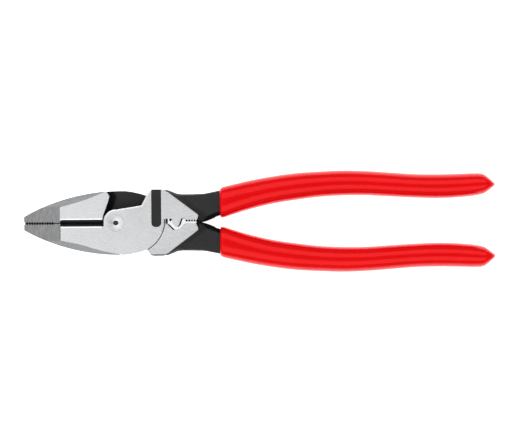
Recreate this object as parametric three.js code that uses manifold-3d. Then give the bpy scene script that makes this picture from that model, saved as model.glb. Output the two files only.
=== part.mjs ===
// Lineman's pliers, 240 mm long: two drop-forged levers lapped on one rivet, with a dipped
// plastic sleeve on each tang.
// Millimetres. +X runs from the joint to the grips, +Y across the tool, +Z up through it.
// The origin is on the rivet's axis, in the flat face that the closed tool lies on.
// Each lever is drawn once, as the front one: its jaw is on the -Y side, its handle on the +Y
// side, and Z = 0 is the middle plane. The rear lever is the same forging turned over about X.
import * as THREE from 'three';
import { mergeVertices } from 'three/addons/utils/BufferGeometryUtils.js';
import Module from 'manifold-3d';

const wasm = await Module();
wasm.setup();

// Head
const HALF_THICK = 7.8; // half the head's thickness
const LAP_GAP = 0.15; // each lap face to the middle plane
const CLOSE_GAP = 0.2; // each lever's closing edge to the centreline
const SHOULDER_GAP = 0.3; // lap disc to the shoulder that it fits in
const TIP_X = -46.7;
const TIP_HALF_WIDTH = 3.6;
const SIDE_ARC = { x: 2.3, top: 16.25, radius: 100 }; // outer side of jaw and disc
const DISC_END = [[7.6, 15.85], [10.4, 15.25], [13.0, 14.55], [15.6, 13.68]]; // down to the shoulder
const SHOULDER = { x: 7.2, y: -1.9, radius: 17.7 }; // arc of the lap disc, on its jaw's side
const NOSE_RADIUS = 6; // round the rivet, under the other jaw

// Jaws
const TEETH = { start: -45.6, pitch: 1.31, count: 11, depth: 0.7 };
const CUTTER = { start: -28.2, end: -6, halfWidth: 1.78, edge: 0.15 };
const JAW_BACK = [
  [-6.8, 0.15], [-6.8, 2.0], [-6.35, 4.0], [-5.15, 7.2], [-3.9, 10.6], [-3.2, 13.2], [-3.6, 14.8],
  [-4.6, 16.0],
];
const TIP_FLAT = { start: -28.3, startHalf: 7.5, endHalf: 5.2 }; // thinner ground tip
const SIDE_BEVEL = { from: [-28.2, 8.4], to: [0.5, 16.0], slope: 0.62 };

// Plate and neck of the handle
const PLATE_TOP = 16.85;
const PLATE_LOW_EDGE = [[1.7, 6.8], [5.3, 7.3], [9.0, 8.0], [12.7, 8.7], [13.5, 9.3], [15.6, 13.7]];
const PLATE_CORNER = [[16.9, 16.2], [18.1, PLATE_TOP], [23.6, PLATE_TOP], [25.4, 16.1]];
const PLATE_TIP = [[41.2, 4.15], [41.75, 3.2], [41.5, 2.3], [40.8, 0.9], [40.6, CLOSE_GAP]];
const CHEEK_START = [15.9, 13.9]; // where the shoulder meets the cheek's outer end
const NAME_PANEL = { x: 20.6, halfWidth: 2.5, cornerRadius: 2.2, end: -2.2, depth: 0.5 };
const TAPE_TEETH = { start: 35.6, pitch: 1.35, count: 4, depth: 0.8 };
const DIE_FLOOR = 1.9; // relief beside the crimping punch
const DIE_START = 25.2;
const DIE_END = 35.2;
const PUNCH = { x: 31.0, y: -1.15, radius: 1.3, leftFlank: 28.6, rightFlank: 33.1 };
const NEST = [[34.9, 0.5], [34.2, 1.0], [33.4, 2.1], [32.2, 3.1], [31.0, 3.4], [29.4, 3.45], [26.7, 0.9]];

// Handle: half thickness, and the edges that face away from and towards the other handle
const HANDLE_START_X = 22; // buried in the plate
const NECK_HALF = 5.5;
const NECK_END_X = 42; // from here the neck thins to the tang
const TANG_HALF = 4.8;
const TANG_START_X = 56;
const TANG_END_X = 187;
const HANDLE_OUTER = [
  [HANDLE_START_X, 14.6], [26.7, 16.0], [28.7, 15.4], [30.8, 14.55], [32.8, 14.15], [36.8, 14.1],
  [44.9, 14.6], [51.1, 15.8], [55.1, 16.6], [67.3, 19.2], [91.7, 22.9], [116, 24.0], [140, 22.8],
  [162, 21.8], [178, 22.1], [TANG_END_X, 20.6],
];
const HANDLE_INNER = [
  [HANDLE_START_X, 4], [26, 1.7], [30, 0.5], [34, CLOSE_GAP], [42.5, CLOSE_GAP], [44.9, 0.63],
  [46.9, 1.25], [51, 2.87], [55, 4.1], [67.3, 7.9], [91.7, 12.8], [116, 14.9], [140, 14.1],
  [162, 13.1], [178, 13.8], [TANG_END_X, 16.4],
];

// Sleeves
const SLEEVE_START = 52.7;
const SLEEVE_END = 193.2;
const SLEEVE_HALF = 7.3;
const SLEEVE_GAP = 0.3;
const SLEEVE_OUTER = [
  [SLEEVE_START, 17.1], [53.9, 18.0], [58.1, 18.9], [67.3, 21.0], [79.5, 23.2], [91.7, 24.75],
  [116, 25.9], [140, 24.65], [158, 23.6], [176.8, 23.9], [184.5, 24.0], [187, 23.5], [189, 22.45],
  [SLEEVE_END, 18.9],
];
const SLEEVE_INNER = [
  [SLEEVE_START, 3.2], [53.9, 2.6], [58, 3.4], [67.3, 6.2], [79.5, 9.1], [91.7, 11.0],
  [104, 12.45], [118, 13.1], [140, 12.3], [163, 11.3], [176.8, 11.85], [186, 13.0], [189, 14.4],
  [SLEEVE_END, 17.7],
];
const SLEEVE_LIP = 0.9; // the mouth's rolled edge
const SLEEVE_TAPER = { start: 184, drop: 1.4 };

// Rivet
const RIVET = { shank: 3.85, head: 4.3, headDepth: 1.6, gap: 0.25, dimpleRadius: 1.15, dimpleDepth: 0.6 };

// --- helpers -----------------------------------------------------------------------------

const flipY = (points) => points.map(([x, y]) => [x, -y]);
const vectors = (points) => points.map(([x, y]) => new THREE.Vector2(x, y));

function arc(x, y, radius, from, to, steps) {
  return Array.from({ length: steps + 1 }, (_, i) => {
    const turn = from + ((to - from) * i) / steps;
    return [x + radius * Math.cos(turn), y + radius * Math.sin(turn)];
  });
}

// Turns a closed geometry into a solid for cutting and joining.
function solid(geometry) {
  const bare = geometry.clone();
  bare.deleteAttribute('normal');
  bare.deleteAttribute('uv');
  const merged = mergeVertices(bare, 1e-5);
  return new wasm.Manifold(new wasm.Mesh({
    numProp: 3,
    vertProperties: new Float32Array(merged.attributes.position.array),
    triVerts: new Uint32Array(merged.index.array),
  }));
}

function geometryOf(manifold) {
  const mesh = manifold.getMesh();
  const geometry = new THREE.BufferGeometry();
  geometry.setAttribute('position', new THREE.BufferAttribute(mesh.vertProperties, 3));
  geometry.setIndex(new THREE.BufferAttribute(mesh.triVerts, 1));
  geometry.computeVertexNormals();
  return geometry;
}

// An outline in the XY plane, drawn up from one height to another.
function plate(points, bottom, top) {
  const geometry = new THREE.ExtrudeGeometry(new THREE.Shape(vectors(points)), {
    depth: top - bottom, bevelEnabled: false,
  });
  return solid(geometry.translate(0, 0, bottom));
}

// An outline given as [x, z] pairs, drawn across the tool from one Y to another.
function acrossY(points, low, high) {
  const geometry = new THREE.ExtrudeGeometry(new THREE.Shape(vectors(points)), {
    depth: high - low, bevelEnabled: false,
  });
  return solid(geometry.translate(0, 0, -high).rotateX(Math.PI / 2));
}

// An outline given as [y, z] pairs, drawn along X.
function alongX(points, low, high) {
  const geometry = new THREE.ExtrudeGeometry(new THREE.Shape(vectors(points)), {
    depth: high - low, bevelEnabled: false,
  });
  return solid(geometry.translate(0, 0, low).applyMatrix4(new THREE.Matrix4().makeBasis(
    new THREE.Vector3(0, 1, 0), new THREE.Vector3(0, 0, 1), new THREE.Vector3(1, 0, 0),
  )));
}

function lathe(profile, segments = 48) {
  return solid(new THREE.LatheGeometry(vectors(profile), segments).rotateX(Math.PI / 2));
}

// Height of a smooth edge at x, by Catmull-Rom slopes through its points.
function edgeAt(points, x) {
  const last = points.length - 2;
  const i = Math.min(last, Math.max(0, points.findIndex(([px]) => px > x) - 1));
  const at = Math.max(i, x >= points[last + 1][0] ? last : 0);
  const slope = (k) => {
    const [a, b] = [points[Math.max(0, k - 1)], points[Math.min(points.length - 1, k + 1)]];
    return (b[1] - a[1]) / (b[0] - a[0]);
  };
  const [[x0, y0], [x1, y1]] = [points[at], points[at + 1]];
  const run = x1 - x0;
  const t = (x - x0) / run;
  const rise = (1 - t) ** 2 * (1 + 2 * t) * y0 + t * t * (3 - 2 * t) * y1;
  return rise + run * (t * (1 - t) ** 2 * slope(at) - t * t * (1 - t) * slope(at + 1));
}

// A bar whose sections stand across X: rounded oblongs between two edges.
function bar(outer, inner, stations, halfHeightAt, { grow = 0, roundness = 3.2, sides = 20 } = {}) {
  const positions = [];
  const index = [];
  const section = (x) => {
    const [top, bottom] = [edgeAt(outer, x) + grow, edgeAt(inner, x) - grow];
    const [middle, half, height] = [(top + bottom) / 2, (top - bottom) / 2, halfHeightAt(x) + grow];
    for (let i = 0; i < sides; i += 1) {
      const turn = (2 * Math.PI * (i + 0.5)) / sides;
      const [c, s] = [Math.cos(turn), Math.sin(turn)];
      const reach = (Math.abs(c) ** roundness + Math.abs(s) ** roundness) ** (-1 / roundness);
      positions.push(x, middle + half * reach * c, height * reach * s);
    }
    return middle;
  };
  const middles = stations.map(section);
  const ends = [[0, stations[0]], [stations.length - 1, stations[stations.length - 1]]];
  ends.forEach(([k, x]) => positions.push(x, middles[k], 0));
  const [startCentre, endCentre] = [stations.length * sides, stations.length * sides + 1];
  const lastRing = (stations.length - 1) * sides;
  for (let i = 0; i < sides; i += 1) {
    const next = (i + 1) % sides;
    for (let k = 0; k < lastRing; k += sides) {
      index.push(k + i, k + next, k + sides + i, k + next, k + sides + next, k + sides + i);
    }
    index.push(startCentre, next, i, endCentre, lastRing + i, lastRing + next);
  }
  const geometry = new THREE.BufferGeometry();
  geometry.setAttribute('position', new THREE.Float32BufferAttribute(positions, 3));
  geometry.setIndex(index);
  return solid(geometry);
}

const range = (from, to, step) => {
  const count = Math.ceil((to - from) / step);
  return Array.from({ length: count + 1 }, (_, i) => from + ((to - from) * i) / count);
};

// Every tool here works on both faces alike.
const onBothFaces = (body) => body.add(body.mirror([0, 0, 1]));

// --- the forging -------------------------------------------------------------------------

// Outer side from the jaw's tip to the lap disc, as points with y > 0.
function outerSide(endX) {
  const centreY = SIDE_ARC.top - SIDE_ARC.radius;
  const turnAt = (x) => Math.acos((x - SIDE_ARC.x) / SIDE_ARC.radius);
  return arc(SIDE_ARC.x, centreY, SIDE_ARC.radius, turnAt(TIP_X + 0.2), turnAt(endX), 14);
}

// Closing edge of a jaw from tip to cutter, as points with y > 0: teeth, then a flat.
function bite() {
  const teeth = range(0, TEETH.count, 1).slice(0, -1).flatMap((i) => {
    const x = TEETH.start + i * TEETH.pitch;
    return [[x, CLOSE_GAP], [x + TEETH.pitch / 2, CLOSE_GAP + TEETH.depth]];
  });
  const end = TEETH.start + TEETH.count * TEETH.pitch;
  return [[TIP_X, CLOSE_GAP], ...teeth, [end, CLOSE_GAP], [CUTTER.start, CLOSE_GAP]];
}

// Jaw at full thickness, up to its back, where the other lever's lap begins.
function jawOutline() {
  const side = flipY(outerSide(-4.9)).reverse();
  return [...flipY(bite()), ...flipY(JAW_BACK), ...side, [TIP_X, -TIP_HALF_WIDTH]];
}

// Crimping punch and the relief beside it, from the neck's end back to the shoulder.
function punchEdge() {
  const { x, y, radius, leftFlank, rightFlank } = PUNCH;
  const nose = arc(x, y, radius, -0.5, -Math.PI + 0.5, 6);
  const right = [[rightFlank + 0.5, DIE_FLOOR], [rightFlank, 0.6], [rightFlank - 0.3, -0.9]];
  const left = [[leftFlank + 0.7, -1.15], [leftFlank, -0.1], [leftFlank, DIE_FLOOR]];
  const relief = [[DIE_END, CLOSE_GAP], [DIE_END - 0.2, 1.4], [DIE_END - 0.7, DIE_FLOOR]];
  return [...relief, ...right, ...nose, ...left, [DIE_START, DIE_FLOOR]];
}

// The rear lever's die: the nest that the punch closes into.
function nestEdge() {
  return [[DIE_END + 0.6, CLOSE_GAP], ...NEST, [DIE_START, 1.3]];
}

// The half that laps over the other lever: jaw, disc round the rivet, and handle plate.
function lapOutline(dieEdge) {
  const [endX, endY] = DISC_END[DISC_END.length - 1];
  const shoulderEnd = Math.atan2(-0.55 + SHOULDER.y, 25 - SHOULDER.x);
  const shoulderStart = Math.atan2(-endY + SHOULDER.y, endX - SHOULDER.x);
  return [
    ...flipY(bite()),
    [CUTTER.start, -CUTTER.edge],
    ...arc(0, 0, NOSE_RADIUS, Math.PI + 0.025, Math.PI / 2 - 0.1, 14),
    ...PLATE_LOW_EDGE, ...PLATE_CORNER, ...PLATE_TIP, ...dieEdge,
    ...arc(SHOULDER.x, -SHOULDER.y, SHOULDER.radius, shoulderEnd, shoulderStart, 14),
    ...flipY(DISC_END).reverse().slice(1), ...flipY(outerSide(4.6)).reverse(),
    [TIP_X, -TIP_HALF_WIDTH],
  ];
}

// The handle's other half: it starts at the shoulder that the other lever's disc fits in.
function cheekOutline(dieEdge) {
  const radius = SHOULDER.radius + SHOULDER_GAP;
  const [startX, startY] = CHEEK_START;
  const shoulderStart = Math.atan2(startY - SHOULDER.y, startX - SHOULDER.x);
  const shoulderEnd = Math.atan2(1.3 - SHOULDER.y, DIE_START - SHOULDER.x);
  return [
    ...arc(SHOULDER.x, SHOULDER.y, radius, shoulderEnd, shoulderStart, 14),
    ...PLATE_CORNER, ...PLATE_TIP, ...dieEdge,
  ];
}

function handleHalf(x) {
  const thinning = THREE.MathUtils.clamp((x - NECK_END_X) / (TANG_START_X - NECK_END_X), 0, 1);
  return THREE.MathUtils.lerp(NECK_HALF, TANG_HALF, thinning);
}

// Close together along the neck, wider apart along the tang.
const handleStations = (from, to) => [
  ...range(from, TANG_START_X, 2), ...range(TANG_START_X, to, 8).slice(1),
];

// Neck and tang, cut to the same closing edge as the plate.
function handleBar(dieEdge) {
  const neck = bar(HANDLE_OUTER, HANDLE_INNER, handleStations(HANDLE_START_X, TANG_END_X), handleHalf);
  const [beforeX, belowY] = [HANDLE_START_X - 2, -6];
  const dieWindow = [...dieEdge, [beforeX, DIE_FLOOR], [beforeX, belowY], [dieEdge[0][0], belowY]];
  const radius = SHOULDER.radius + SHOULDER_GAP;
  const discSpace = arc(SHOULDER.x, SHOULDER.y, radius, 0, 2 * Math.PI, 48).slice(1);
  return neck.subtract(plate(dieWindow, -HALF_THICK - 1, HALF_THICK + 1))
    .subtract(plate(discSpace, -HALF_THICK - 1, LAP_GAP));
}

function cutterBevel() {
  const top = HALF_THICK + 0.6;
  const reach = CUTTER.edge + ((CUTTER.halfWidth - CUTTER.edge) * top) / HALF_THICK;
  const wedge = [[-CUTTER.edge, 0], [1, 0], [1, top], [-reach, top]];
  return onBothFaces(alongX(wedge, CUTTER.start, CUTTER.end));
}

function tipRelief() {
  const { start, startHalf, endHalf } = TIP_FLAT;
  const past = TIP_X - 2;
  const pastHalf = THREE.MathUtils.mapLinear(past, start, TIP_X, startHalf, endHalf);
  const top = HALF_THICK + 1;
  return onBothFaces(acrossY([[start, startHalf], [start, top], [past, top], [past, pastHalf]], -20, 20));
}

// Long ground bevel down the outer side of the jaw.
function sideBevel() {
  const [from, to] = [new THREE.Vector2(...SIDE_BEVEL.from), new THREE.Vector2(...SIDE_BEVEL.to)];
  const along = to.clone().sub(from).normalize();
  const [back, reach, top] = [1, 9, HALF_THICK + 1];
  const heightAt = (y) => HALF_THICK - y * SIDE_BEVEL.slope;
  const outline = [[-back, heightAt(-back)], [reach, heightAt(reach)], [reach, top], [-back + 0.2, top]];
  const shape = new THREE.Shape(vectors(outline));
  const [length, before] = [80, 25];
  const geometry = new THREE.ExtrudeGeometry(shape, { depth: length, bevelEnabled: false });
  const [outward, upward] = [new THREE.Vector3(-along.y, along.x, 0), new THREE.Vector3(0, 0, 1)];
  const place = new THREE.Matrix4().makeBasis(outward, upward, new THREE.Vector3(along.x, along.y, 0));
  const upper = solid(geometry.translate(0, 0, -before).applyMatrix4(place).translate(from.x, from.y, 0));
  return onBothFaces(upper.mirror([0, 1, 0]));
}

function rivetHole() {
  const { shank, head, headDepth, gap } = RIVET;
  const [bore, top] = [shank + gap, HALF_THICK + 1];
  const flare = ((head - shank) * top) / HALF_THICK;
  return lathe([[0, -1], [bore, -1], [bore, HALF_THICK - headDepth], [bore + flare, top], [0, top]]);
}

function namePanel() {
  const { x, halfWidth, cornerRadius, end, depth } = NAME_PANEL;
  const [left, right] = [x - halfWidth, x + halfWidth];
  const [turnY, openY] = [end + cornerRadius, PLATE_TOP + 3];
  const outline = [
    ...arc(left + cornerRadius, turnY, cornerRadius, Math.PI, 1.5 * Math.PI, 6),
    ...arc(right - cornerRadius, turnY, cornerRadius, 1.5 * Math.PI, 2 * Math.PI, 6),
    [right, openY], [left, openY],
  ];
  return plate(outline, HALF_THICK - depth, HALF_THICK + 1);
}

function tapeTeeth() {
  const { start, pitch, count, depth } = TAPE_TEETH;
  const low = CLOSE_GAP - 0.2;
  return range(0, count, 1).slice(0, -1).map((i) => {
    const x = start + i * pitch;
    return plate([[x, low], [x + pitch * 0.8, low], [x + pitch * 0.4, CLOSE_GAP + depth]], -9, 9);
  });
}

function lever({ dieEdge, panel, teeth }) {
  const overlap = LAP_GAP + 1;
  let body = plate(lapOutline(dieEdge), LAP_GAP, HALF_THICK)
    .add(plate(jawOutline(), -HALF_THICK, overlap))
    .add(plate(cheekOutline(dieEdge), -HALF_THICK, overlap))
    .add(handleBar(dieEdge));
  const cuts = [cutterBevel(), tipRelief(), sideBevel(), rivetHole()];
  if (panel) cuts.push(namePanel());
  if (teeth) cuts.push(...tapeTeeth());
  cuts.forEach((cut) => { body = body.subtract(cut); });
  return geometryOf(body);
}

// --- rivet and sleeves -------------------------------------------------------------------

// The rivet's foot is flat; its upper end has the centre dimple.
function rivet() {
  const { shank, head, headDepth, dimpleRadius, dimpleDepth } = RIVET;
  const [foot, top] = [-HALF_THICK, HALF_THICK];
  return geometryOf(lathe([
    [0, foot], [head, foot], [shank, foot + headDepth], [shank, top - headDepth], [head, top],
    [dimpleRadius, top], [dimpleRadius * 0.6, top - dimpleDepth], [0, top - dimpleDepth],
  ]));
}

function sleeve() {
  const { start, drop } = SLEEVE_TAPER;
  const halfAt = (x) => {
    const lip = x === SLEEVE_START ? SLEEVE_LIP : 0;
    return SLEEVE_HALF - lip - drop * THREE.MathUtils.smoothstep(x, start, SLEEVE_END);
  };
  const stations = [SLEEVE_START, 53.9, 58, ...range(63, 183, 8), 186, 189, 191, SLEEVE_END];
  const skin = bar(SLEEVE_OUTER, SLEEVE_INNER, stations, halfAt, { roundness: 2.9, sides: 24 });
  const hollowStations = [...handleStations(SLEEVE_START - 6.7, TANG_END_X), TANG_END_X + 0.5];
  const hollow = bar(HANDLE_OUTER, HANDLE_INNER, hollowStations, handleHalf, { grow: SLEEVE_GAP });
  return geometryOf(skin.subtract(hollow));
}

// --- assembly ----------------------------------------------------------------------------

const steel = new THREE.MeshStandardMaterial({ color: 0xd0d0d2, metalness: 1, roughness: 0.28 });
const darkSteel = new THREE.MeshStandardMaterial({ color: 0xb9babc, metalness: 1, roughness: 0.34 });
const redPlastic = new THREE.MeshStandardMaterial({ color: 0xe10606, metalness: 0, roughness: 0.32 });

function piece(name, geometry, material, turnedOver = false) {
  const mesh = new THREE.Mesh(geometry, material);
  mesh.name = name;
  mesh.rotation.x = turnedOver ? Math.PI : 0;
  return mesh;
}

const group = new THREE.Group();
group.position.z = HALF_THICK;
const sleeveShape = sleeve();
group.add(
  piece('front_lever', lever({ dieEdge: punchEdge(), panel: true, teeth: true }), steel),
  piece('rear_lever', lever({ dieEdge: nestEdge(), panel: false, teeth: false }), steel, true),
  piece('joint_rivet', rivet(), darkSteel),
  piece('upper_grip', sleeveShape, redPlastic),
  piece('lower_grip', sleeveShape, redPlastic, true),
);

export default group;
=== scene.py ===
"""Lineman's pliers, 240 mm, closed and lying flat, seen straight from above.

Lengths are millimetres in each lever's own frame until a mesh is made, and metres after that.
In a lever's frame the joint is at the origin, +X runs to the grips, the jaw is on the -Y side,
the handle on the +Y side, and z = 0 is the tool's middle plane. The rear lever is the same
forging turned over about X, with the other side of the die and no panel.
"""
import math
from functools import reduce

import bpy
import numpy as np
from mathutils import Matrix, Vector


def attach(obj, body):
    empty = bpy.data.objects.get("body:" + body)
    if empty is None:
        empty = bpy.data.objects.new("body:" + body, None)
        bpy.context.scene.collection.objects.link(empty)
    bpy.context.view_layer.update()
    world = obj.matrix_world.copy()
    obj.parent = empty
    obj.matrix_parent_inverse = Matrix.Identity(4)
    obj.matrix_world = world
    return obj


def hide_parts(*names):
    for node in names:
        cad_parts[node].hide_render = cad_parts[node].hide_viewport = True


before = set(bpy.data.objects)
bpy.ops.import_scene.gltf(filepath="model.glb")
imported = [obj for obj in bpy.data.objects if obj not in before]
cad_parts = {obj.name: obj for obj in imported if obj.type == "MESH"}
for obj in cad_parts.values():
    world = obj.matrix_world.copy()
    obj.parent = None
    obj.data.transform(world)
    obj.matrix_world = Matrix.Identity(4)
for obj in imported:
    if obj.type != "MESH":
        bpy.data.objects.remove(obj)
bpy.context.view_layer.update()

MM = 0.001

DIAGONAL = 0.707           # brings a 45 degree chamfer's field to true distance
CREASE = math.radians(25)  # edges sharper than this stay sharp
NO_EDGE = -9.0             # a depth with no free edge near it

# Head, jaws and joint
HALF = 7.8            # half the head's thickness
LAP_GAP = 0.15        # lap face to the middle plane
CLOSE_GAP = 0.06      # gripping faces to the centreline
CLOSE_WAVE = 0.25     # the gripping faces bow to one side and back through the thickness
RIM_SLOPE, RIM_WIDTH = 0.21, 0.4   # fall of the ground faces at their free edges
RIM_END_Y = -4.0      # the outer sides have no such fall
PLATE_CHAMFER_Y = 16.0
TIP_X = -46.7
TIP_CORNER = (TIP_X, -3.6, 0.4)
TIP_NOTCH_OUT, TIP_NOTCH_RADIUS = 0.1, 0.65   # between the tips, centred just past their ends
PAST_CENTRE = 0.4     # outlines run past the centreline, and the closing faces cut them back
SIDE_X, SIDE_TOP, SIDE_RADIUS = 2.3, 16.25, 100.0
SIDE_START_X, JAW_SIDE_END_X, DISC_SIDE_END_X = TIP_X + 0.25, -5.2, 4.6
SHOULDER_X, SHOULDER_Y, SHOULDER_RADIUS = 7.2, 1.9, 17.7
SHOULDER_GAP = 0.4
SHOULDER_ENDS = [(24.95, -0.55), (15.6, -13.68)]
CHEEK_ENDS = [(25.2, 0.9), (15.6, 14.2)]
DISC_CORNER = [(13.0, -14.55), (10.4, -15.25), (7.6, -15.85)]
CHEEK_CORNER = [(16.4, 14.5), (17.3, 15.7), (18.3, 16.5), (19.8, 16.85)]
ROUND_X, ROUND_Y, ROUND_RADIUS = 0.1, 0.35, 6.4   # the lap's round end, about the rivet
ROUND_START_X, ROUND_TURN = -6.9, (math.pi + 0.07, math.pi / 2 - 0.12)
TOOTH_START, TOOTH_PITCH, TOOTH_COUNT = -45.75, 1.31, 11
TOOTH_DEPTH, TOOTH_SLANT, TOOTH_NARROWING = 0.82, 0.5, 1.3
GRIP_CHAMFER = 0.3
CUTTER_START, CUTTER_END, CUTTER_HALF, CUTTER_RIM = -28.2, -6.1, 1.75, 0.5
CUTTER_RIM_END = -7.0
CUTTER_START_HALF, CUTTER_WIDENING = 1.35, 0.5   # the slot is narrower where it begins
LAND_GAP, LAND_WAVE, LAND_HALF = 0.03, 0.2, 1.2  # the edges' bow near the middle plane
TIP_FLAT_X, TIP_FLAT_HALF, TIP_END_HALF = -28.3, 7.5, 5.2
LAP_BEVEL_LINE = [(-47, 3.4), (-28, 8.6), (-16.8, 11.2), (-11.4, 12.85), (-6.5, 14.2), (0.5, 15.6),
                  (5.4, 16.3), (20, 18)]
JAW_BEVEL_LINE = [(-47, 2.9), (-28, 8.2), (-16.8, 11.4), (-10.5, 13.7), (-5.4, 15.8), (0, 18), (20, 26)]
SIDE_BEVEL_SLOPE = 0.62
JAW_BACK = [(-6.7, 0.4), (-6.7, 2.0), (-6.35, 4.0), (-5.15, 7.2), (-3.9, 10.6), (-3.1, 13.6, 1.0),
            (-4.8, 16.0)]
PLATE_EDGE = [(1.7, 7.0), (5.3, 7.5), (9.0, 8.05), (13.1, 8.75, 1.0), (15.7, 13.8), (17.1, 16.2, 0.8),
              (18.3, 16.85)]
PLATE_END = [(24.5, 16.8, 1.5), (41.8, 3.7, 0.9), (41.5, 2.4), (40.9, 1.1, 0.5), (40.6, 0.45)]
PUNCH_FLANK = (31.8, 34.9, -2.5, 2.1)   # where each flank is chamfered: x, then y
NEST_FLANK = (26.3, 29.6, 0.8, 3.8)
FLANK_CHAMFER = 0.4
PANEL_X, PANEL_HALF, PANEL_END, PANEL_TOP, PANEL_CORNER, PANEL_DEPTH = 20.6, 2.5, -2.2, 20, 2.3, 0.5
TAPE_TEETH = [36.0, 37.35, 38.7, 40.05]
TAPE_TOOTH_Y, TAPE_TOOTH_RADIUS, TAPE_TOOTH_DEPTH = 1.0, 0.45, 2.2
RIVET_RADIUS = 4.3
RIVET_GAP = 0.02

# Handles
NECK_HALF, TANG_HALF = 5.5, 4.8
NECK_START, NECK_TAPER, NECK_END, TANG_START, TANG_END = 25.5, 42.0, 50.0, 56.0, 187.0
NECK_WAVE = 0.2                      # bow of the necks' closing faces
SKIRT_START, SKIRT_SLOPE = 24, 0.8   # how the neck falls away from the ground faces
SKIRT_SCALE = 1.28                   # brings the skirt's field to true distance
SKIRT_ROUND, NECK_FILLET = 1.2, 1.0
EASE_START, EASE_WIDTH = 41, 2.3     # slope along the neck's inner edge
DIE_WINDOW = (25.0, 40.9, 3.6)       # start, end and top of the space round the die
HANDLE_START = 22
HANDLE_OUTER = [(HANDLE_START, 14.6), (25.2, 16.4), (26.7, 16.15), (28.7, 15.4), (30.8, 14.55),
                (32.8, 14.15), (36.8, 14.1), (44.9, 14.6), (51.1, 15.8), (55.1, 16.6), (67.3, 19.2),
                (91.7, 22.9), (116, 24.0), (140, 22.8), (162, 21.8), (178, 22.1), (TANG_END, 20.6)]
HANDLE_INNER = [(HANDLE_START, 4), (30, 1.2), (36, 0.6), (41.5, 0.12), (42.8, 0.15), (44.9, 0.63),
                (46.9, 1.25), (51, 2.87), (55, 4.1), (67.3, 7.9), (91.7, 12.8), (116, 14.9),
                (140, 14.1), (162, 13.1), (178, 13.8), (TANG_END, 16.4)]
SLEEVE_START, SLEEVE_END, SLEEVE_HALF = 52.8, 193.2, 7.3
SLEEVE_OUTER = [(SLEEVE_START, 16.6), (53.2, 17.3), (54.0, 17.85), (55.1, 18.2), (58.1, 18.9),
                (67.3, 21.0), (79.5, 23.2), (91.7, 24.75), (104, 25.5), (116, 25.9), (128.2, 25.5),
                (140.3, 24.65), (152.5, 23.8), (164.7, 23.6), (176.8, 23.85), (183, 24.0),
                (186, 23.85), (187.6, 23.35), (189, 22.4), (191.2, 20.5), (192.2, 19.55),
                (192.8, 18.95), (193.1, 18.5), (SLEEVE_END, 18.25)]
SLEEVE_INNER = [(SLEEVE_START, 3.6), (53.1, 2.7), (53.9, 2.35), (55.0, 2.45), (58, 3.4), (67.3, 6.2),
                (79.5, 9.1), (91.7, 11.0), (103.9, 12.45), (116, 13.05), (128.2, 13.0),
                (140.3, 12.3), (152.5, 11.65), (164.7, 11.3), (176.8, 11.85), (182.9, 12.5),
                (186, 13.1), (187.6, 13.6), (189, 14.45), (191.2, 16.1), (192.2, 16.9),
                (192.8, 17.35), (193.1, 17.8), (SLEEVE_END, 18.05)]
SLEEVE_SIDES = 72
MOUTH_REACH, MOUTH_ROLL, MOUTH_LIP = 2.4, 1.5, 0.8   # rings close together, roll length and height
TAIL_START, TAIL_LENGTH = 182, 10
SKIN_ROUNDNESS, BORE_ROUNDNESS = 2.3, 4.2            # 2 is an ellipse, and more is squarer
BORE_GAP = 0.12


# --- outlines ------------------------------------------------------------------------------

def flip(points):
    return [(p[0], -p[1], *p[2:]) for p in points]


def arc(x, y, radius, start, end, steps=24):
    turns = np.linspace(start, end, steps + 1)
    return [(x + radius * math.cos(t), y + radius * math.sin(t)) for t in turns]


def softened(points):
    """Rounds each corner that gives a radius as its third number."""
    result = []
    for i, point in enumerate(points):
        if len(point) == 2:
            result.append(point)
            continue
        corner, radius = np.array(point[:2]), point[2]
        before = np.array(points[i - 1][:2]) - corner
        after = np.array(points[(i + 1) % len(points)][:2]) - corner
        before, after = before / np.linalg.norm(before), after / np.linalg.norm(after)
        half_angle = math.acos(np.clip(before @ after, -1, 1)) / 2
        reach = radius / math.tan(half_angle)
        start, end = corner + before * reach, corner + after * reach
        for t in np.linspace(0, 1, 9):
            result.append(tuple((1 - t) ** 2 * start + 2 * t * (1 - t) * corner + t * t * end))
    return result


def smooth_edge(points, x):
    """A smooth curve through the points, read at x."""
    px, py = np.array(points, float).T
    slopes = np.gradient(py, px)
    x = np.clip(x, px[0], px[-1])
    i = np.clip(np.searchsorted(px, x, side="right") - 1, 0, len(px) - 2)
    run = px[i + 1] - px[i]
    t = (x - px[i]) / run
    rise = (1 - t) ** 2 * (1 + 2 * t) * py[i] + t * t * (3 - 2 * t) * py[i + 1]
    return rise + run * (t * (1 - t) ** 2 * slopes[i] - t * t * (1 - t) * slopes[i + 1])


def side_arc(start_x, end_x):
    turn = [math.acos((x - SIDE_X) / SIDE_RADIUS) for x in (start_x, end_x)]
    return arc(SIDE_X, SIDE_TOP - SIDE_RADIUS, SIDE_RADIUS, *turn)


def shoulder_arc(centre_y, radius, ends):
    """Part of a shoulder's circle, between the directions of two points."""
    turn = [math.atan2(y - centre_y, x - SHOULDER_X) for x, y in ends]
    return arc(SHOULDER_X, centre_y, radius, *turn)


def jaw_outline():
    """The jaw, which has the whole thickness."""
    outer = flip(side_arc(SIDE_START_X, JAW_SIDE_END_X))
    closing = [(TIP_X, PAST_CENTRE), (JAW_BACK[0][0], PAST_CENTRE)]
    return softened(closing + flip(JAW_BACK)[1:] + outer[::-1] + [TIP_CORNER])


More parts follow.
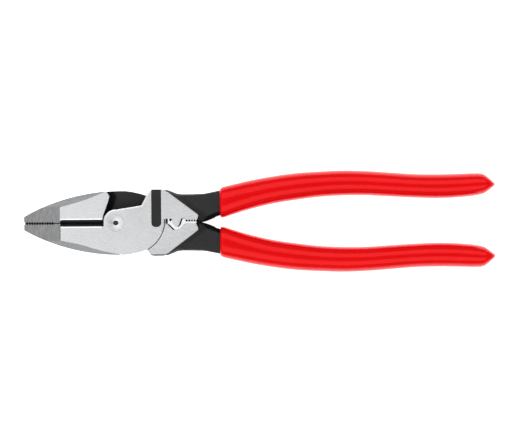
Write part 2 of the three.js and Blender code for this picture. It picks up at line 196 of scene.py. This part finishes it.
def lap_outline(die):
    """The upper half of the head: jaw, lap disc and handle plate."""
    round_end = [(ROUND_START_X, PAST_CENTRE)] + arc(ROUND_X, ROUND_Y, ROUND_RADIUS, *ROUND_TURN)
    shoulder = [(24.7, 1.8, 0.3)] + shoulder_arc(SHOULDER_Y, SHOULDER_RADIUS, SHOULDER_ENDS)
    outer = flip(side_arc(SIDE_START_X, DISC_SIDE_END_X))
    return softened([(TIP_X, PAST_CENTRE)] + round_end + PLATE_EDGE + PLATE_END + die
                    + shoulder + DISC_CORNER + outer[::-1] + [TIP_CORNER])


def cheek_outline(die):
    """The handle plate beyond the other lever's shoulder, which has the whole thickness."""
    shoulder = shoulder_arc(-SHOULDER_Y, SHOULDER_RADIUS + SHOULDER_GAP, CHEEK_ENDS)
    return softened(shoulder + CHEEK_CORNER + PLATE_END + die)


def punch_edge():
    """The crimping punch and the relief beside it, on the front lever."""
    punch = [(33.6, 1.95, 0.5), (32.95, 0.2), (32.6, -1.1, 0.5), (31.5, -2.2, 0.6), (30.6, -2.45, 0.6),
             (29.3, -1.2, 0.8), (28.65, -0.1, 0.5)]
    return [(35.25, 0.45, 0.2), (35.1, 1.4, 0.4), (34.6, 2.0, 0.3), *punch, (28.6, 1.9, 0.2), (25.9, 1.9)]


def punch_stop():
    """The lugs under the punch's relief, in the front lever's lower half."""
    return [(28.0, 1.9), (27.95, 1.2, 0.3), (27.2, 0.55, 0.3), (26.85, 1.1, 0.2), (27.0, 1.9), (25.9, 1.9),
            (25.9, -0.5, 0.4), (25.2, -0.9)]


def nest_edge():
    """The nest that the punch closes into, on the rear lever."""
    return [(36.0, 0.3), (34.9, 0.45, 0.3), (34.2, 1.0), (33.4, 2.1, 0.6), (32.2, 3.1, 0.8), (31.0, 3.4, 0.5),
            (29.3, 3.45, 0.3), (26.6, 0.85, 0.3), (25.9, 0.75)]


# --- fields --------------------------------------------------------------------------------

def outline_distance(points, x, y):
    """Distance from an outline, negative inside it."""
    nearest = np.full(np.broadcast(x, y).shape, np.inf)
    inside = np.zeros(nearest.shape, bool)
    for (ax, ay), (bx, by) in zip(points, points[1:] + points[:1]):
        ex, ey = bx - ax, by - ay
        length2 = ex * ex + ey * ey
        if length2 < 1e-12:
            continue
        t = np.clip(((x - ax) * ex + (y - ay) * ey) / length2, 0, 1)
        nearest = np.minimum(nearest, (x - ax - t * ex) ** 2 + (y - ay - t * ey) ** 2)
        if ay != by:
            inside ^= ((ay > y) != (by > y)) & (x < ax + ex * (y - ay) / ey)
    return np.where(inside, -1, 1) * np.sqrt(nearest)


def overlap(*fields):
    return reduce(np.maximum, fields)


def union(*fields):
    return reduce(np.minimum, fields)


def both(a, b, radius):
    """Where two fields overlap, with their shared edge rounded."""
    corner = np.sqrt(np.maximum(a + radius, 0) ** 2 + np.maximum(b + radius, 0) ** 2)
    return np.minimum(np.maximum(a, b), -radius) + corner


def either(a, b, radius):
    """Two fields joined, with a fillet between them."""
    corner = np.sqrt(np.maximum(radius - a, 0) ** 2 + np.maximum(radius - b, 0) ** 2)
    return np.maximum(np.minimum(a, b), radius) - corner


def bow(t):
    """One full wave through the thickness, from -1 to 1, and flat past it."""
    return np.sin(np.pi * np.clip(t, -1, 1))


def handle_half(x):
    return NECK_HALF + (TANG_HALF - NECK_HALF) * np.clip((x - NECK_TAPER) / (TANG_START - NECK_TAPER), 0, 1)


def handle_field(x, y, z, radius=2.2):
    outer, inner = smooth_edge(HANDLE_OUTER, x), smooth_edge(HANDLE_INNER, x)
    above = np.abs(z) - handle_half(x)
    across = np.abs(y - (outer + inner) / 2) - (outer - inner) / 2 + radius
    through = above + radius
    bar = np.hypot(np.maximum(across, 0), np.maximum(through, 0)) + np.minimum(np.maximum(across, through), 0)
    ease = (above + SKIRT_SLOPE * (inner + EASE_WIDTH - y)) / SKIRT_SCALE
    return overlap(bar - radius, union(ease, x - EASE_START), HANDLE_START - x, x - TANG_END)


def nose_height(x):
    """Half thickness of the jaw's nose."""
    return TIP_FLAT_HALF + (TIP_FLAT_X - x) * (TIP_END_HALF - TIP_FLAT_HALF) / (TIP_FLAT_X - TIP_X)


def side_bevel(x, y, z):
    """The long ground bevel down the outer side of the jaw."""
    line = np.where(z > 0, smooth_edge(LAP_BEVEL_LINE, x), smooth_edge(JAW_BEVEL_LINE, x))
    return (np.abs(z) - HALF + SIDE_BEVEL_SLOPE * (-y - line)) / math.hypot(1, SIDE_BEVEL_SLOPE)


def head_field(y, z, lap, jaw, cheek, low_cheek):
    """Jaw, lap and plate, with flat faces that fall slightly at the free edges."""
    rim = np.where(y > RIM_END_Y, lap, NO_EDGE)
    upper = overlap(lap, z - HALF, z - HALF + RIM_SLOPE * (rim + RIM_WIDTH), LAP_GAP - z)
    whole = overlap(union(jaw, overlap(lap, cheek)), np.abs(z) - HALF)
    lower = overlap(low_cheek, -HALF - z, z + LAP_GAP)
    return overlap(union(upper, whole, lower), (y - PLATE_CHAMFER_Y - z - HALF) * DIAGONAL)


def neck_field(x, y, z, lap, cheek):
    """The neck slopes down from the ground faces into the rounded handle."""
    plate = overlap(lap, SKIRT_START - x)
    skirt = (np.abs(z) - HALF + SKIRT_SLOPE * np.maximum(plate, 0)) / SKIRT_SCALE
    inner_side = smooth_edge(HANDLE_INNER, x) - y
    outer_side = y - smooth_edge(HANDLE_OUTER, x)
    sides = overlap(inner_side, outer_side, NECK_START - x, x - NECK_END)
    neck = either(handle_field(x, y, z), both(sides, skirt, SKIRT_ROUND), NECK_FILLET)
    neck = overlap(neck, CLOSE_GAP + NECK_WAVE * bow(z / NECK_HALF) - y)
    window_start, window_end, window_top = DIE_WINDOW
    window = overlap(window_start - x, x - window_end, y - window_top)
    neck = overlap(neck, -overlap(window, -overlap(lap, cheek)))
    disc_space = SHOULDER_RADIUS + SHOULDER_GAP - np.hypot(x - SHOULDER_X, y + SHOULDER_Y)
    return overlap(neck, union(disc_space, LAP_GAP - z))


def gripping_face(x, y, z):
    """The nose's closing face, with broken edges and slanting grooves."""
    nose_half = nose_height(x)
    closing = y + CLOSE_GAP - CLOSE_WAVE * bow(z / nose_half)
    corner = (y + GRIP_CHAMFER + np.abs(z) - nose_half) * DIAGONAL
    phase = (x - TOOTH_START - TOOTH_SLANT * (nose_half - np.abs(z))) / TOOTH_PITCH
    groove = TOOTH_DEPTH * (1 - (TOOTH_NARROWING * (phase % 1 * 2 - 1)) ** 2) + y
    toothed = union(x - TOOTH_START, TOOTH_START + TOOTH_COUNT * TOOTH_PITCH - x)
    return union(CUTTER_START - x, overlap(closing, corner, union(toothed, groove * 0.6)))


def cutting_edge(x, y, z):
    """Steep bevels that meet in the middle plane, and a shallow fall along each face."""
    half = np.minimum(CUTTER_HALF, CUTTER_START_HALF + CUTTER_WIDENING * (x - CUTTER_START))
    steep = (y + LAND_GAP + (half - LAND_GAP) * np.abs(z) / HALF - LAND_WAVE * bow(z / LAND_HALF)) * 0.9
    fall = np.abs(z) - HALF + RIM_SLOPE * (y + half + CUTTER_RIM)
    past_start = x - CUTTER_START
    return overlap(union(past_start, CUTTER_RIM_END - x, fall), union(past_start, CUTTER_END - x, steep))


def lever_field(x, y, z, die, front):
    """One whole lever, negative inside the steel."""
    lap = outline_distance(lap_outline(die), x, y)
    jaw = outline_distance(jaw_outline(), x, y)
    cheek = outline_distance(cheek_outline(die), x, y)
    low_cheek = cheek
    if front:
        low_cheek = outline_distance(cheek_outline(die[:-1] + punch_stop()), x, y)
    body = union(head_field(y, z, lap, jaw, cheek, low_cheek), neck_field(x, y, z, lap, cheek))

    nose = union(TIP_FLAT_X - x, np.abs(z) - nose_height(x))
    body = overlap(body, side_bevel(x, y, z), nose, gripping_face(x, y, z), cutting_edge(x, y, z))

    # Chamfers on the punch's or the nest's working flank
    height = np.abs(z) - HALF
    low_x, high_x, low_y, high_y = PUNCH_FLANK if front else NEST_FLANK
    flank = union(x - low_x, high_x - x, y - low_y, high_y - y)
    body = overlap(body, union(flank, (overlap(lap, cheek) + FLANK_CHAMFER + height) * DIAGONAL))

    rivet_hole = RIVET_RADIUS + RIVET_GAP - np.hypot(x, y)
    tip_notch = TIP_NOTCH_RADIUS - np.hypot(x - TIP_X + TIP_NOTCH_OUT, y)
    body = overlap(body, rivet_hole, tip_notch)
    if front:
        panel = outline_distance(panel_outline(), x, y)
        body = overlap(body, -overlap(panel, HALF - PANEL_DEPTH - z))
        body = overlap(body, union(tape_teeth(x, y), height + TAPE_TOOTH_DEPTH))
    return body


def panel_outline():
    left, right = PANEL_X - PANEL_HALF, PANEL_X + PANEL_HALF
    end = [(left, PANEL_END, PANEL_CORNER), (right, PANEL_END, PANEL_CORNER)]
    return softened([(left, PANEL_TOP)] + end + [(right, PANEL_TOP)])


def tape_teeth(x, y):
    """Four small teeth that grip tape, beside the die."""
    return overlap(*[TAPE_TOOTH_RADIUS - np.hypot(x - centre, y - TAPE_TOOTH_Y) for centre in TAPE_TEETH])


# --- meshes --------------------------------------------------------------------------------

def planes_at(field, spots):
    """Unit normals of a field at some points, and where the tangent planes lie along them."""
    step = 0.0005
    x, y, z = spots.T
    here = field(x, y, z)
    ahead = [field(x + step, y, z), field(x, y + step, z), field(x, y, z + step)]
    slope = np.stack(ahead, 1) - here[:, None]
    length = np.linalg.norm(slope, axis=1) + 1e-9
    normal = slope / length[:, None]
    return normal, (normal * spots).sum(1) - here * step / length


def surface_of(field, xs, ys, zs):
    """Quads on the zero level of a field, with its creases kept (dual contouring)."""
    axes = (xs, ys, zs)
    sample = field(xs[:, None, None], ys[None, :, None], zs[None, None, :])
    cells = np.array(sample.shape) - 1
    spots, around, leaving = [], [], []
    for axis in range(3):
        low = np.take(sample, range(sample.shape[axis] - 1), axis)
        high = np.take(sample, range(1, sample.shape[axis]), axis)
        crossed = (low < 0) != (high < 0)
        where = np.argwhere(crossed)
        a, b = low[crossed], high[crossed]
        spot = np.stack([axes[k][where[:, k]] for k in range(3)], 1)
        spot[:, axis] += a / (a - b) * np.diff(axes[axis])[where[:, axis]]
        spots.append(spot)
        leaving.append((a < 0) == (axis != 1))
        first, second = [k for k in range(3) if k != axis]
        corners = []
        for da, db in ((1, 1), (0, 1), (0, 0), (1, 0)):
            cell = where.copy()
            cell[:, first] -= da
            cell[:, second] -= db
            corners.append(np.ravel_multi_index(tuple(cell.T), cells))
        around.append(np.stack(corners, 1))
    spots, around, leaving = (np.concatenate(part) for part in (spots, around, leaving))
    used, quads = np.unique(around, return_inverse=True)
    quads = quads.reshape(around.shape)
    flat = quads.ravel()

    def gather(values):
        return np.bincount(flat, np.repeat(values, 4), len(used))

    # Each corner goes where the tangent planes round it meet, or near their middle if they are flat.
    normal, offset = planes_at(field, spots)
    count = gather(np.ones(len(spots)))
    middle = np.stack([gather(spots[:, k]) for k in range(3)], 1) / count[:, None]
    products = [gather(normal[:, i] * normal[:, j]) for i in range(3) for j in range(3)]
    pull = np.stack(products, 1).reshape(-1, 3, 3)
    target = np.stack([gather(normal[:, k] * offset) for k in range(3)], 1)
    target -= np.einsum("nij,nj->ni", pull, middle)
    stay = 0.006 * np.eye(3)
    move = np.linalg.solve(pull + stay, target[:, :, None])[:, :, 0]
    place = np.stack(np.unravel_index(used, cells), 1)
    low = np.stack([axes[k][place[:, k]] for k in range(3)], 1)
    high = np.stack([axes[k][place[:, k] + 1] for k in range(3)], 1)
    points = np.clip(middle + move, low, high)
    quads[~leaving] = quads[~leaving][:, ::-1]
    return points, quads


def new_piece(name, points, faces, material):
    mesh = bpy.data.meshes.new(name)
    mesh.from_pydata(points.tolist(), [], faces if isinstance(faces, list) else faces.tolist())
    mesh.validate()
    mesh.shade_smooth()
    mesh.materials.append(material)
    piece = bpy.data.objects.new(name, mesh)
    bpy.context.scene.collection.objects.link(piece)
    return piece


def placed(points, turned_over):
    """From a lever's frame in millimetres to the tool's frame in metres."""
    sign = -1 if turned_over else 1
    return np.column_stack([points[:, 0], sign * points[:, 1], sign * points[:, 2] + HALF]) * MM


def add_attribute(piece, name, values):
    kind = "FLOAT_VECTOR" if values.ndim == 2 else "FLOAT"
    layer = piece.data.attributes.new(name, kind, "POINT")
    layer.data.foreach_set("vector" if values.ndim == 2 else "value", values.astype(np.float32).ravel())


def finishes(points):
    """Depths inside the bright steel, its coarsely ground part and the painted shade in shaded corners."""
    x, y, z = points.T
    reach, skin = 0.1, 0.12   # how far a finish runs past its edge, and how deep it lies
    nose = union(TIP_FLAT_X + 0.02 - x, np.abs(z) - nose_height(x) + 0.08)
    cutter = union(x - CUTTER_START + reach, CUTTER_END + reach - x, 2.1 - np.abs(y), HALF - 0.25 - np.abs(z))
    coarse = overlap(nose, cutter, TIP_X + reach - x)
    face = np.abs(z) - HALF + skin
    bevel = skin - np.abs(side_bevel(x, y, z))
    back = np.interp(-y, *np.array([point[:2] for point in JAW_BACK])[:, ::-1].T)
    # Painted shade: darker bands behind the jaw's back, round the die and along the necks' inner edges, where
    # the parts shade one another.
    shade_behind_jaw = union(3.4 - (x - back), 1 - np.abs(z)) * 0.4
    crimp = union(x - SKIRT_START, NECK_TAPER - x, 4 - np.abs(y), HALF - 0.15 - np.abs(z)) + 0.3
    inner_edge = smooth_edge(HANDLE_INNER, x) + 2.6 - y
    neck_shade = union(handle_half(x) - np.abs(z) - reach, x - 41.5, inner_edge)
    return overlap(coarse, face, bevel), coarse, overlap(shade_behind_jaw, crimp, neck_shade)


def stations(stretches):
    """Grid lines from stretches that each give a start and a spacing."""
    pairs = zip(stretches, stretches[1:])
    return np.concatenate([np.arange(start, end - step / 3, step) for (start, step), (end, _) in pairs])


def lever(name, die, front, material):
    """One forging, meshed from its field, with the closest samples at its teeth and die."""
    fine, medium, wide = 0.19, 0.36, 1.9
    xs = stations([(TIP_X - 0.6, 0.1637), (-31, 0.33), (24.5, fine), (41.5, 0.33), (55, wide),
                   (TANG_END + 2, wide)])
    ys = stations([(-17.3, medium), (-2.6, fine), (2.4, medium), (25.3, medium)])
    zs = stations([(-HALF - 0.55, medium), (HALF + 0.9, medium)])
    points, quads = surface_of(lambda x, y, z: lever_field(x, y, z, die, front), xs, ys, zs)
    points[:, 2] = np.clip(points[:, 2], -HALF, HALF)
    piece = new_piece(name + "_forging", placed(points, not front), quads, material)
    piece.data.set_sharp_from_angle(angle=CREASE)
    add_attribute(piece, "tool", points)
    for attribute, depth in zip(("bright", "matte", "painted_shade"), finishes(points)):
        add_attribute(piece, attribute, depth)
    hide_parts(name)
    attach(piece, name)


def ring(x, outer, inner, half, roundness, sides):
    """One rounded section across the handle."""
    turns = 2 * np.pi * (np.arange(sides) + 0.5) / sides
    c, s = np.cos(turns), np.sin(turns)
    reach = (np.abs(c) ** roundness + np.abs(s) ** roundness) ** (-1 / roundness)
    middle, width = (outer + inner) / 2, (outer - inner) / 2
    return np.column_stack([np.full(sides, x), middle + width * reach * c, half * reach * s])


def grip(name, body, turned_over, material):
    """A dipped sleeve: outer skin, rolled mouth and the bore that the tang fills."""
    sides, quarter = SLEEVE_SIDES, np.pi / 2
    mouth_xs = SLEEVE_START + MOUTH_REACH * (1 - np.cos(np.linspace(0, quarter, 9)))
    tail_xs = SLEEVE_END - TAIL_LENGTH * (1 - np.sin(np.linspace(0, quarter, 26)))
    tail_xs = tail_xs[tail_xs > TAIL_START + 0.5]
    skin = []
    for x in np.concatenate([mouth_xs, np.linspace(TANG_START, TAIL_START, 96), tail_xs]):
        mouth = 1 - min(1.0, (x - SLEEVE_START) / MOUTH_ROLL)
        lip = MOUTH_LIP * (1 - math.sqrt(max(0.0, 1 - mouth * mouth)))
        close = np.clip((x - TAIL_START - 1) / (SLEEVE_END - TAIL_START - 1), 0, 1)
        half = SLEEVE_HALF * (1 - 0.06 * close) * math.sqrt(1.001 - close ** 5) - lip
        roundness = SKIN_ROUNDNESS + 0.4 * np.clip((70 - x) / 17, 0, 1)
        outer, inner = smooth_edge(SLEEVE_OUTER, x), smooth_edge(SLEEVE_INNER, x)
        skin.append(ring(x, outer, inner, half, roundness, sides))
    bore = []
    for x in np.concatenate([[SLEEVE_START + 0.05, 53.6], np.linspace(TANG_START, TANG_END + 0.3, 40)]):
        outer = smooth_edge(HANDLE_OUTER, x) + BORE_GAP
        inner = smooth_edge(HANDLE_INNER, x) - BORE_GAP
        bore.append(ring(x, outer, inner, float(handle_half(x)) + BORE_GAP, BORE_ROUNDNESS, sides))
    rings = bore[::-1] + skin
    points = np.concatenate(rings)
    faces = []
    for k in range(len(rings) - 1):
        for i in range(sides):
            j = (i + 1) % sides
            faces.append((k * sides + i, k * sides + j, (k + 1) * sides + j, (k + 1) * sides + i))
    last = (len(rings) - 1) * sides
    faces.append(tuple(range(sides))[::-1])
    faces.append(tuple(last + i for i in range(sides)))
    piece = new_piece(name + "_sleeve", placed(points, turned_over), faces, material)
    add_attribute(piece, "tool", points)
    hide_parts(name)
    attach(piece, body)


def rivet(material):
    """A flush rivet with a soft centre dimple, as a turned profile."""
    foot = [(0, -HALF), (RIVET_RADIUS - 0.2, -HALF), (RIVET_RADIUS, -HALF + 0.15)]
    head = [(RIVET_RADIUS, HALF - 0.06), (RIVET_RADIUS - 0.05, HALF - 0.01), (1.6, HALF - 0.01)]
    dimple = [(1.3, HALF - 0.07), (1.1, HALF - 0.3), (0.8, HALF - 0.9), (0.45, HALF - 1.15), (0, HALF - 1.2)]
    profile = foot + head + dimple
    sides = 96
    turns = 2 * np.pi * np.arange(sides) / sides
    points = [(0, 0, profile[0][1])]
    for r, z in profile[1:-1]:
        points += [(r * math.cos(t), r * math.sin(t), z) for t in turns]
    points.append((0, 0, profile[-1][1]))
    faces = []
    rows = len(profile) - 2
    for i in range(sides):
        j = (i + 1) % sides
        faces.append((0, 1 + j, 1 + i))
        for k in range(rows - 1):
            a, b = 1 + k * sides, 1 + (k + 1) * sides
            faces.append((a + i, a + j, b + j, b + i))
        top = 1 + (rows - 1) * sides
        faces.append((top + i, top + j, len(points) - 1))
    points = np.array(points)
    piece = new_piece("rivet_flush", placed(points, False), faces, material)
    piece.data.set_sharp_from_angle(angle=CREASE)
    add_attribute(piece, "tool", points)
    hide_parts("joint_rivet")
    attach(piece, "front_lever")


# --- materials -----------------------------------------------------------------------------

class Nodes:
    """Short ways to add and join shader nodes in one material."""

    def __init__(self, name):
        self.material = bpy.data.materials.new(name)
        self.material.use_nodes = True
        self.tree = self.material.node_tree
        self.shader = self.tree.nodes["Principled BSDF"]

    def add(self, kind, inputs=(), **settings):
        node = self.tree.nodes.new(kind)
        for key, value in settings.items():
            setattr(node, key, value)
        for key, value in dict(inputs).items():
            self.feed(node.inputs[key], value)
        return node

    def feed(self, socket, value):
        if isinstance(value, bpy.types.NodeSocket):
            self.tree.links.new(value, socket)
        else:
            socket.default_value = value

    def attribute(self, name):
        return self.add("ShaderNodeAttribute", attribute_name=name)

    def math(self, operation, a, b):
        return self.add("ShaderNodeMath", {0: a, 1: b}, operation=operation).outputs[0]

    def ramp(self, value, low, high, start=0.0, end=1.0, kind="SMOOTHSTEP"):
        inputs = {0: value, 1: low, 2: high, 3: start, 4: end}
        return self.add("ShaderNodeMapRange", inputs, interpolation_type=kind).outputs[0]

    def spread(self, noise, start, end):
        """A noise's middle range, spread evenly from one value to another."""
        return self.ramp(noise, 0.3, 0.7, start, end, "LINEAR")

    def noise(self, vector, stretch, scale, detail=4.0, roughness=0.6):
        mapped = self.add("ShaderNodeMapping", {"Vector": vector, "Scale": stretch}).outputs[0]
        inputs = {"Vector": mapped, "Scale": scale, "Detail": detail, "Roughness": roughness}
        return self.add("ShaderNodeTexNoise", inputs).outputs[0]

    def mix(self, factor, a, b):
        node = self.add("ShaderNodeMix", data_type="FLOAT")
        self.feed(node.inputs[0], factor)
        self.feed(node.inputs[2], a)
        self.feed(node.inputs[3], b)
        return node.outputs[0]

    def mix_color(self, factor, a, b):
        node = self.add("ShaderNodeMix", data_type="RGBA")
        self.feed(node.inputs[0], factor)
        self.feed(node.inputs[6], a)
        self.feed(node.inputs[7], b)
        return node.outputs[2]

    def grey(self, value):
        return self.add("ShaderNodeCombineColor", {0: value, 1: value, 2: value}).outputs[0]

    def bump(self, height, strength, distance):
        node = self.add("ShaderNodeBump", {"Height": height, "Strength": strength, "Distance": distance})
        self.feed(self.shader.inputs["Normal"], node.outputs[0])


def forged_steel():
    """Ground and polished where the forging was machined, black oxide everywhere else, with painted shade
    darkening the oxide in shaded corners.
    """
    n = Nodes("forged_steel")
    tool = n.attribute("tool").outputs["Vector"]
    bright = n.ramp(n.attribute("bright").outputs["Fac"], -0.04, 0.04)
    coarse = n.ramp(n.attribute("matte").outputs["Fac"], -0.04, 0.04)
    cloud = n.noise(tool, (1, 1, 1), 0.055, 3.0)
    streak = n.noise(tool, (0.35, 6, 1), 1.2, 3.0)
    grit = n.noise(tool, (1, 0.22, 0.5), 1.1, 5.0, 0.8)

    polished = n.math("ADD", n.spread(cloud, 0.60, 0.66), n.spread(streak, -0.01, 0.01))
    metal = n.mix(coarse, polished, n.spread(grit, 0.19, 0.36))
    metal_rough = n.mix(coarse, n.spread(streak, 0.24, 0.32), n.spread(grit, 0.46, 0.6))

    mottle = n.noise(tool, (1, 1, 1), 0.5, 5.0, 0.7)
    # Painted shade: in the shaded corners the black oxide is darkened to near black and made fully rough.
    painted_shade = n.ramp(n.attribute("painted_shade").outputs["Fac"], -0.3, 0.5)
    black = n.mix(painted_shade, n.spread(mottle, 0.012, 0.020), 0.0005)
    black_rough = n.mix(painted_shade, n.spread(mottle, 0.42, 0.56), 1.0)

    n.feed(n.shader.inputs["Base Color"], n.grey(n.mix(bright, black, metal)))
    n.feed(n.shader.inputs["Metallic"], bright)
    n.shader.inputs["Specular IOR Level"].default_value = 0.22
    n.feed(n.shader.inputs["Roughness"], n.mix(bright, black_rough, metal_rough))
    fine = n.mix(coarse, streak, grit)
    n.bump(n.mix(bright, mottle, fine), 0.06, 0.00006)
    return n.material


def rivet_steel():
    n = Nodes("rivet_steel")
    tool = n.attribute("tool").outputs["Vector"]
    height = n.add("ShaderNodeSeparateXYZ", {0: tool}).outputs[2]
    streak = n.noise(tool, (0.35, 6, 1), 1.2, 3.0)
    cloud = n.noise(tool, (1, 1, 1), 0.055, 3.0)
    upper_end = n.ramp(height, HALF - 0.22, HALF - 0.1)
    lower_end = n.ramp(height, -HALF + 0.22, -HALF + 0.1)
    bright = n.math("MAXIMUM", upper_end, lower_end)
    tone = n.math("ADD", n.spread(cloud, 0.60, 0.66), n.spread(streak, -0.02, 0.0))
    n.feed(n.shader.inputs["Base Color"], n.grey(n.mix(bright, 0.03, tone)))
    n.feed(n.shader.inputs["Metallic"], bright)
    n.feed(n.shader.inputs["Roughness"], n.mix(bright, 0.5, n.spread(streak, 0.24, 0.32)))
    n.bump(streak, 0.05, 0.00005)
    return n.material


def red_vinyl():
    n = Nodes("red_vinyl")
    tool = n.attribute("tool").outputs["Vector"]
    wave = n.noise(tool, (0.5, 1, 1), 0.09, 3.0)
    pores = n.noise(tool, (1, 1, 1), 2.2, 4.0)
    deep, clear = (0.74, 0.0006, 0.002, 1), (0.79, 0.0008, 0.003, 1)
    n.feed(n.shader.inputs["Base Color"], n.mix_color(n.spread(wave, 0, 1), deep, clear))
    n.feed(n.shader.inputs["Roughness"], n.spread(pores, 0.14, 0.21))
    n.shader.inputs["Specular Tint"].default_value = (1.0, 0.11, 0.11, 1)
    n.shader.inputs["IOR"].default_value = 1.8
    n.bump(n.mix(0.3, wave, pores), 0.12, 0.0002)
    return n.material


# --- stage ---------------------------------------------------------------------------------

def camera():
    """Straight above the tool, which lies a hair off level in the picture."""
    frame_width, distance, roll = 261.1 * MM, 1.3, math.radians(-0.45)
    data = bpy.data.cameras.new("camera")
    data.sensor_width = 36
    data.lens = 36 * distance / frame_width
    data.clip_end = 20
    rig = bpy.data.objects.new("camera", data)
    rig.location = (71.9 * MM, -1.1 * MM, distance + 2 * HALF * MM)
    rig.rotation_euler = (0, 0, roll)
    bpy.context.scene.collection.objects.link(rig)
    bpy.context.scene.camera = rig


def softbox(name, place, aim, size, power):
    data = bpy.data.lights.new(name, "AREA")
    data.shape = "RECTANGLE"
    data.size, data.size_y = size
    data.energy = power
    lamp = bpy.data.objects.new(name, data)
    lamp.location = place
    lamp.rotation_euler = (Vector(aim) - Vector(place)).to_track_quat("-Z", "Y").to_euler()
    bpy.context.scene.collection.objects.link(lamp)


def stage():
    scene = bpy.context.scene
    scene.view_settings.view_transform = "Standard"
    world = bpy.data.worlds.new("studio")
    world.use_nodes = True
    background = world.node_tree.nodes["Background"]
    background.inputs["Color"].default_value = (0.9, 0.92, 0.95, 1)
    background.inputs["Strength"].default_value = 0.46
    scene.world = world

    n = Nodes("floor")
    n.shader.inputs["Base Color"].default_value = (0.93, 0.93, 0.93, 1)
    n.shader.inputs["Roughness"].default_value = 0.9
    n.shader.inputs["Emission Color"].default_value = (1, 1, 1, 1)
    n.shader.inputs["Emission Strength"].default_value = 0.9
    size = 3.0
    corners = np.array([(-size, -size, 0), (size, -size, 0), (size, size, 0), (-size, size, 0)])
    floor = new_piece("floor", corners, [(0, 1, 2, 3)], n.material)

    middle = (0.07, 0, 0)
    softbox("overhead", (-0.45, 0, 2.4), middle, (1.0, 0.6), 2.0)
    for side in (-1, 1):
        softbox(f"side_{side}", (0.07, side * 0.88, 1.46), middle, (1.8, 1.17), 12.5)


camera()
stage()
steel = forged_steel()
lever("front_lever", punch_edge(), True, steel)
lever("rear_lever", nest_edge(), False, steel)
rivet(rivet_steel())
vinyl = red_vinyl()
grip("upper_grip", "front_lever", False, vinyl)
grip("lower_grip", "rear_lever", True, vinyl)
